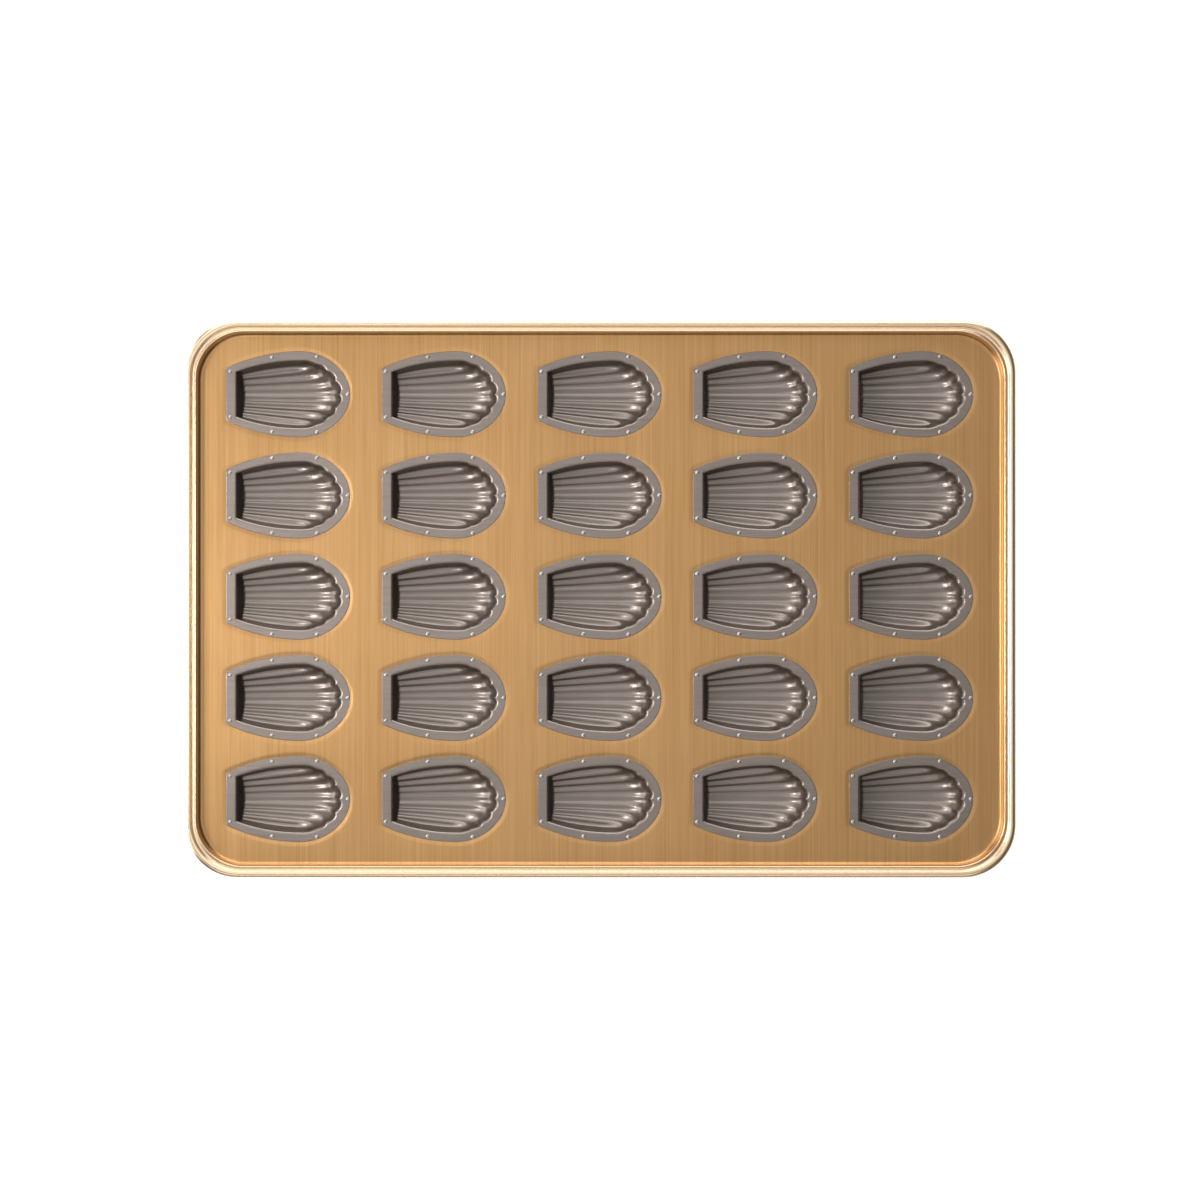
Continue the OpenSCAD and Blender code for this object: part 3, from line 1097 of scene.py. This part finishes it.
@dataclass
class TraySheet(Dressed):
    """The pressed sheet: floor with recesses, wall, ridge and the bead rolled round the wire."""

    length: float = 600.0
    width: float = 402.6
    outer_corner: float = 38.0
    corner_ratio: float = 0.43
    top: float = 18.0
    thickness: float = 1.0
    recess_depth: float = 1.0
    flange_drop: float = 0.2
    columns: int = 5
    rows: int = 5
    pitch_x: float = 113.0
    pitch_y: float = 73.4
    field_shift: tuple[float, float] = (-0.6, 1.6)
    flange_middle_x: float = 38.2
    corner_steps: int = 24
    side_steps: int = 8

    def places(self) -> Iterator[tuple[str, tuple[float, float, float]]]:
        """Each mould's key and the place of its straight end's middle, at its flange's top.

        Rows count from 1 at the +Y side, and columns from 1 at the -X side.

        Yields:
            The keys and places, row by row.
        """
        height = self.top - self.flange_drop
        for row in range(1, self.rows + 1):
            for column in range(1, self.columns + 1):
                x = (column - (self.columns + 1) / 2) * self.pitch_x - self.flange_middle_x
                y = ((self.rows + 1) / 2 - row) * self.pitch_y
                yield f"r{row}_c{column}", (x + self.field_shift[0], y + self.field_shift[1], height)

    def _section(self) -> Loop:
        """The rim's section from the floor's top edge round the bead to the floor's lower edge.

        Returns:
            Insets, counted inwards below 0, and heights over the sheet's top.
        """
        foot, ridge, groove, bead = (-10.8, 1.5), (-8.1, 8.5), (-6.246, 9.25), (-3.1, 6.3)
        bend, roll = 1.5, 3.1
        parts = [
            [[-12.2, 0.0], [-11.4, 0.0]],
            arc(foot, bend, -90, 6, 9),
            [[-9.05, 4.0], [-8.75, 6.8]],
            arc(ridge, 0.5, 176, 26, 9),
            arc(groove, bend, 208, 338, 12),
            arc(bead, roll, 122, -140, 44),
            [[-5.32, 4.22], [-4.85, 4.72]],
            arc(bead, roll - self.thickness, -138, 196, 40),
            [[-5.35, 5.6], [-5.95, 5.22]],
            arc(bead, roll, 205, 174, 4),
            [[-6.3, 6.72], [-7.0, 6.75], [-7.75, 6.72], [-8.0, 4.0]],
            arc(foot, bend + self.thickness, 2, -90, 10),
            [[-11.4, -self.thickness], [-12.2, -self.thickness]],
        ]
        return np.vstack([np.asarray(p, float) for p in parts])

    def _rounded(self, inset: float) -> Loop:
        """The tray's outline moved in.

        Args:
            inset: Millimetres from the outer edge.

        Returns:
            A counter-clockwise loop; every loop has the same number of points.
        """
        radius = self.outer_corner - inset * self.corner_ratio
        x, y = self.length / 2 - inset - radius, self.width / 2 - inset - radius
        corners = ((x, y, 0), (-x, y, 90), (-x, -y, 180), (x, -y, 270))
        parts = [arc((cx, cy), radius, start, start + 90, self.corner_steps) for cx, cy, start in corners]
        whole = []
        for i, part in enumerate(parts):
            nearest = parts[(i + 1) % 4][0]
            shares = np.linspace(0, 1, self.side_steps + 1)[1:-1, None]
            whole += [part, part[-1] + (nearest - part[-1]) * shares]
        return np.vstack(whole)

    def _recess(self, writer: MeshWriter, shift: Sequence[float]) -> tuple[np.ndarray, np.ndarray]:
        """Adds one recess, with its cut-out, wall and the pad that it presses into the underside.

        Each section is a list of distances from the outline, with heights over the sheet's top.

        Args:
            writer: Where the mesh goes.
            shift: Plan place of the mould.

        Returns:
            Numbers of the loops where the sheet's level top and underside start.
        """

        def loop(outline: ShellOutline, grow: float, height: float) -> np.ndarray:
            """Adds one loop of an outline."""
            return writer.add(level(outline.grown(grow).loop() + shift, height))

        floor = -self.recess_depth
        under = floor - self.thickness
        wall = ((0.04, floor), (0.06, floor + 0.2), (0.08, floor + 0.55), (0.1, floor + 0.71))
        lip = ((0.12, -0.281), (0.16, -0.277), (0.4, -0.265), (0.9, -0.225))
        brow = lip + ((1.5, -0.155), (2.1, -0.085), (2.7, -0.034), (3.3, -0.008), (3.8, 0.0))
        inner = [loop(CUT_OUT, 0.35, floor), loop(CUT_OUT, 0.05, floor), loop(CUT_OUT, 0.0, floor - 0.06)]
        lower = [loop(CUT_OUT, 0.0, under + 0.06), loop(CUT_OUT, 0.05, under), loop(CUT_OUT, 0.35, under)]
        writer.strip(inner + lower, closed=True, flip=False)
        rise = [loop(FLANGE, grow, height) for grow, height in wall + brow]
        writer.strip(rise, closed=True, flip=True)
        writer.flat(rise[0], [inner[0]], Side.TOP)
        hem = ((0.9, under), (1.2, under + 0.03), (1.46, under + 0.16), (1.6, under + 0.45))
        flare = ((1.68, under + 0.72), (1.84, under + 0.88), (2.1, under + 0.98), (2.6, under + 1.0))
        pad = [loop(FLANGE, grow, height) for grow, height in hem + flare]
        writer.strip(pad, closed=True, flip=False)
        writer.flat(pad[0], [lower[-1]], Side.UNDER)
        return rise[-1], pad[-1]

    def build(self, name: str) -> bpy.types.Object:
        """Makes the sheet.

        Args:
            name: The object's name.

        Returns:
            The object.
        """
        writer = MeshWriter()
        rim = [writer.add(level(self._rounded(-x), height)) for x, height in self._section()]
        writer.strip(rim, closed=True, flip=True)
        tops, unders = [], []
        for _, place in self.places():
            above, below = self._recess(writer, place[:2])
            tops.append(above)
            unders.append(below)
        writer.flat(rim[0], tops, Side.TOP)
        writer.flat(rim[-1], unders, Side.UNDER)
        return writer.build(name, (0.0, 0.0, self.top))


@dataclass
class RimWire(Dressed):
    """The wire, which the rolled bead hides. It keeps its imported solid."""

    def dress_packed(self) -> None:
        """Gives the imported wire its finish."""
        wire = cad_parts["rim_wire"]
        wire.data.materials.clear()
        wire.data.materials.append(self.finish)
        LOG.info("%s: packed solid with its own finish", wire.name)


# The studio


@dataclass(frozen=True)
class Lamp:
    """One soft lamp: where it stands and the point that it faces, its two sides in metres, and its power."""

    name: str
    place: tuple[float, float, float]
    aim: tuple[float, float, float]
    size: tuple[float, float]
    watts: float

    def light(self) -> None:
        """Puts the lamp up."""
        data = bpy.data.lights.new(self.name, "AREA")
        data.shape = "RECTANGLE"
        data.size, data.size_y = self.size
        data.energy = self.watts
        thing = bpy.data.objects.new(self.name, data)
        thing.location = self.place
        thing.rotation_euler = (Vector(self.aim) - Vector(self.place)).to_track_quat("-Z", "Y").to_euler()
        bpy.context.scene.collection.objects.link(thing)


LAMPS = (
    Lamp("overhead_panel", (-0.1, 0.2, 2.2), (-0.1, 0.2, 0.0), (1.3, 1.7), 6.9),
    Lamp("overhead_core", (-0.45, 0.0, 2.1), (-0.45, 0.0, 0.0), (0.35, 0.5), 0.6),
    Lamp("right_panel", (0.95, 0.1, 2.2), (0.95, 0.1, 0.0), (0.8, 1.7), 2.5),
    Lamp("front_panel", (-0.1, -1.6, 1.6), (0.0, 0.0, 0.0), (2.4, 1.4), 11.0),
    Lamp("left_softbox", (-1.2, 0.0, 1.5), (0.0, 0.0, 0.0), (0.5, 0.5), 14.0),
    Lamp("left_panel", (-1.75, 0.1, 1.25), (0.0, 0.0, 0.0), (2.6, 1.9), 15.0),
    Lamp("left_low_panel", (-2.3, 0.0, 0.5), (0.0, 0.0, 0.2), (3.0, 0.8), 25.0),
    Lamp("back_low_panel", (0.0, 2.2, 0.5), (0.0, 0.0, 0.2), (3.4, 0.8), 28.0),
    Lamp("back_panel", (-0.2, 1.75, 1.25), (0.0, 0.0, 0.0), (2.6, 1.9), 32.0),
)


@dataclass
class Studio:
    """A pale floor, soft lamps and a camera straight above, in metres."""

    camera_height: float = 1.43
    camera_reach: float = 20.0
    field_width: float = 0.8646
    sensor_width_mm: float = 36.0
    rim_height: float = 0.0274
    camera_shift: tuple[float, float] = (-0.0002, -0.0008)
    floor_reach: float = 3.0
    floor_tone: float = 0.93
    floor_glow: float = 0.9
    room_color: Color = (1.0, 0.99, 0.98)
    room_strength: float = 0.12

    def floor(self) -> None:
        """Makes the floor."""
        mesh = bpy.data.meshes.new("floor")
        far = self.floor_reach
        mesh.from_pydata([(-far, -far, 0), (far, -far, 0), (far, far, 0), (-far, far, 0)], [], [(0, 1, 2, 3)])
        floor = bpy.data.objects.new("floor", mesh)
        bpy.context.scene.collection.objects.link(floor)
        g = Graph(bpy.data.materials.new("pale_floor"))
        tone = self.floor_tone
        matt = g.add("ShaderNodeBsdfDiffuse", None, {"Color": (tone, tone, tone, 1.0)})
        glow = g.add("ShaderNodeEmission", None, {"Color": (1.0, 1.0, 1.0, 1.0), "Strength": self.floor_glow})
        both = g.add("ShaderNodeAddShader", None, {0: matt.outputs[0], 1: glow.outputs[0]})
        g.end_for_camera(matt.outputs[0], both.outputs[0])
        mesh.materials.append(g.owner)
        floor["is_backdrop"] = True

    def room(self) -> None:
        """Sets the room's own light. What the camera sees behind the floor is white."""
        world = bpy.data.worlds.new("room")
        bpy.context.scene.world = world
        g = Graph(world)
        settings = {"Color": (*self.room_color, 1.0), "Strength": self.room_strength}
        dim = g.add("ShaderNodeBackground", None, settings)
        white = g.add("ShaderNodeBackground", None, {"Color": (1.0, 1.0, 1.0, 1.0)})
        g.end_for_camera(dim.outputs[0], white.outputs[0])

    def camera(self) -> None:
        """Sets the camera straight above the tray."""
        data = bpy.data.cameras.new("camera")
        data.sensor_width = self.sensor_width_mm
        data.lens = self.sensor_width_mm * self.camera_height / self.field_width
        data.clip_end = self.camera_reach
        thing = bpy.data.objects.new("camera", data)
        thing.location = (*self.camera_shift, self.rim_height + self.camera_height)
        bpy.context.scene.collection.objects.link(thing)
        bpy.context.scene.camera = thing

    def build(self) -> None:
        """Sets up the whole studio."""
        bpy.context.scene.view_settings.view_transform = "Standard"
        self.camera()
        self.floor()
        self.room()
        for lamp in LAMPS:
            lamp.light()


class Pan:
    """The whole pan: its sheet, moulds, rivets and wire."""

    def __init__(self) -> None:
        """Makes the sub-assemblies with their finishes."""
        self.sheet = TraySheet(BrushedGold().material(), Slot.TRAY)
        self.mould = Mould(CoatedSteel().material(), Slot.MOULD)
        self.rivets = Rivets(PlainRivet().material(), Slot.RIVET)
        self.wire = RimWire(DrawnWire().material(), Slot.WIRE)

    def build(self) -> None:
        """Builds and dresses every piece."""
        self.sheet.dress(self.sheet.build("sheet"), "tray_sheet")
        for key, place in self.sheet.places():
            self.mould.dress(self.mould.build(f"shell_{key}", place), f"mould_{key}")
            self.rivets.dress(self.rivets.build(f"studs_{key}", place), f"rivets_{key}")
        self.wire.dress_packed()


def corners(box: Sequence[Sequence[float]]) -> list[list[float]]:
    """A box's two corners as plain lists."""
    return [[float(v) for v in corner] for corner in box]


def main() -> None:
    """Builds the pan and its studio."""
    logging.basicConfig(level=logging.INFO, format="%(name)s %(message)s")
    packed = corners(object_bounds())
    Pan().build()
    Studio().build()
    bpy.context.view_layer.update()
    {"packed": packed, "dressed": corners(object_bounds())}


if __name__ == "__main__":
    main()
